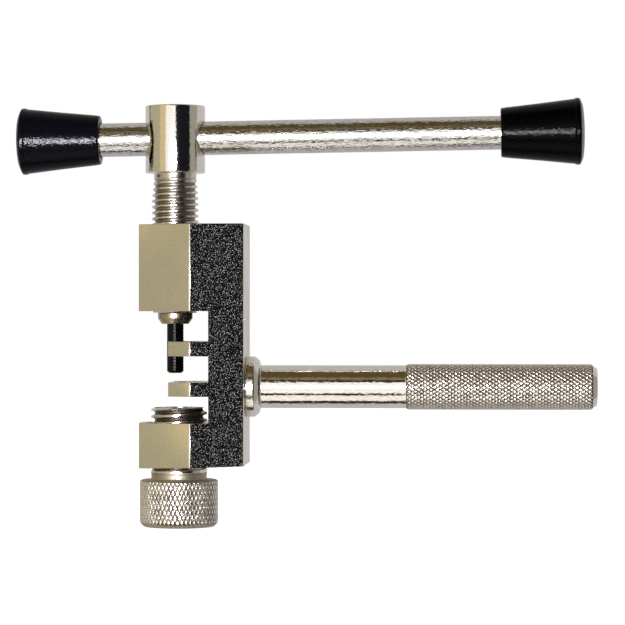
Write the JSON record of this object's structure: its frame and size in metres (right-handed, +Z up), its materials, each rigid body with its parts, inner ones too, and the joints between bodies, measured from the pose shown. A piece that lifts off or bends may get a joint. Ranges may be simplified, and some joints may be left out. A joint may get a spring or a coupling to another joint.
{
  "type": "bicycle chain tool",
  "caption": "Screw-driven bicycle chain tool: C-shaped frame with chain forks, driver screw with sliding T-bar, knurled adjuster and knurled side handle.",
  "frame": {"origin": "on the driver axis, at the tip of the driver pin at rest", "axes": "+Z up the driver axis, +X along the handle away from the frame, the XZ plane is the tool's plane of symmetry"},
  "size_m": [0.1234, 0.018, 0.0911],
  "materials": {
    "frame_nickel_and_black": "sand-textured black coat on the broad sides, satin nickel on the nose and back",
    "satin_nickel": "satin nickel plate",
    "bright_nickel": "bright nickel plate",
    "knurled_nickel": "nickel plate over a diamond knurl",
    "black_oxide": "black oxide on hardened steel",
    "hardened_steel": "ground",
    "black_cap": "glossy moulded plastic"
  },
  "bodies": {
    "frame": {"frame": "frame_nickel_and_black", "handle": "knurled_nickel", "handle_collar": "bright_nickel"},
    "driver_pin": {"driver_pin": "black_oxide"},
    "driver": {"driver_screw": "bright_nickel", "pin_holder": "bright_nickel", "thrust_disc": "hardened_steel"},
    "t_bar": {"t_bar": "satin_nickel", "left_end_cap": "black_cap", "right_end_cap": "black_cap"},
    "bush": {"adjuster_bush": "hardened_steel"},
    "adjuster": {"adjuster_screw": "knurled_nickel"}
  },
  "joints": [
    {"name": "driver_travel", "type": "slide", "parent": "frame", "child": "driver_pin", "axis": [0, 0, -1], "range_m": [-0.0125, 0.006]},
    {"name": "driver_turn", "type": "hinge", "parent": "driver_pin", "child": "driver", "pos_m": [0, 0, 0.0499], "axis": [0, 0, -1], "range_deg": [-3600, 1728]},
    {"name": "t_bar_slide", "type": "slide", "parent": "driver", "child": "t_bar", "axis": [0.9999, 0, 0.0157], "range_m": [-0.06265, 0.00935]},
    {"name": "adjuster_travel", "type": "slide", "parent": "frame", "child": "bush", "axis": [0, 0, 1], "range_m": [-0.0045, 0.00225]},
    {"name": "adjuster_turn", "type": "hinge", "parent": "bush", "child": "adjuster", "pos_m": [0.0008, 0, -0.0073], "axis": [0, 0, 1], "range_deg": [-1080, 540]}
  ],
  "couplings": [
    {"joint": "driver_turn", "follows": "driver_travel", "rad_per_m": 5026.5},
    {"joint": "adjuster_turn", "follows": "adjuster_travel", "rad_per_m": 4188.8}
  ]
}
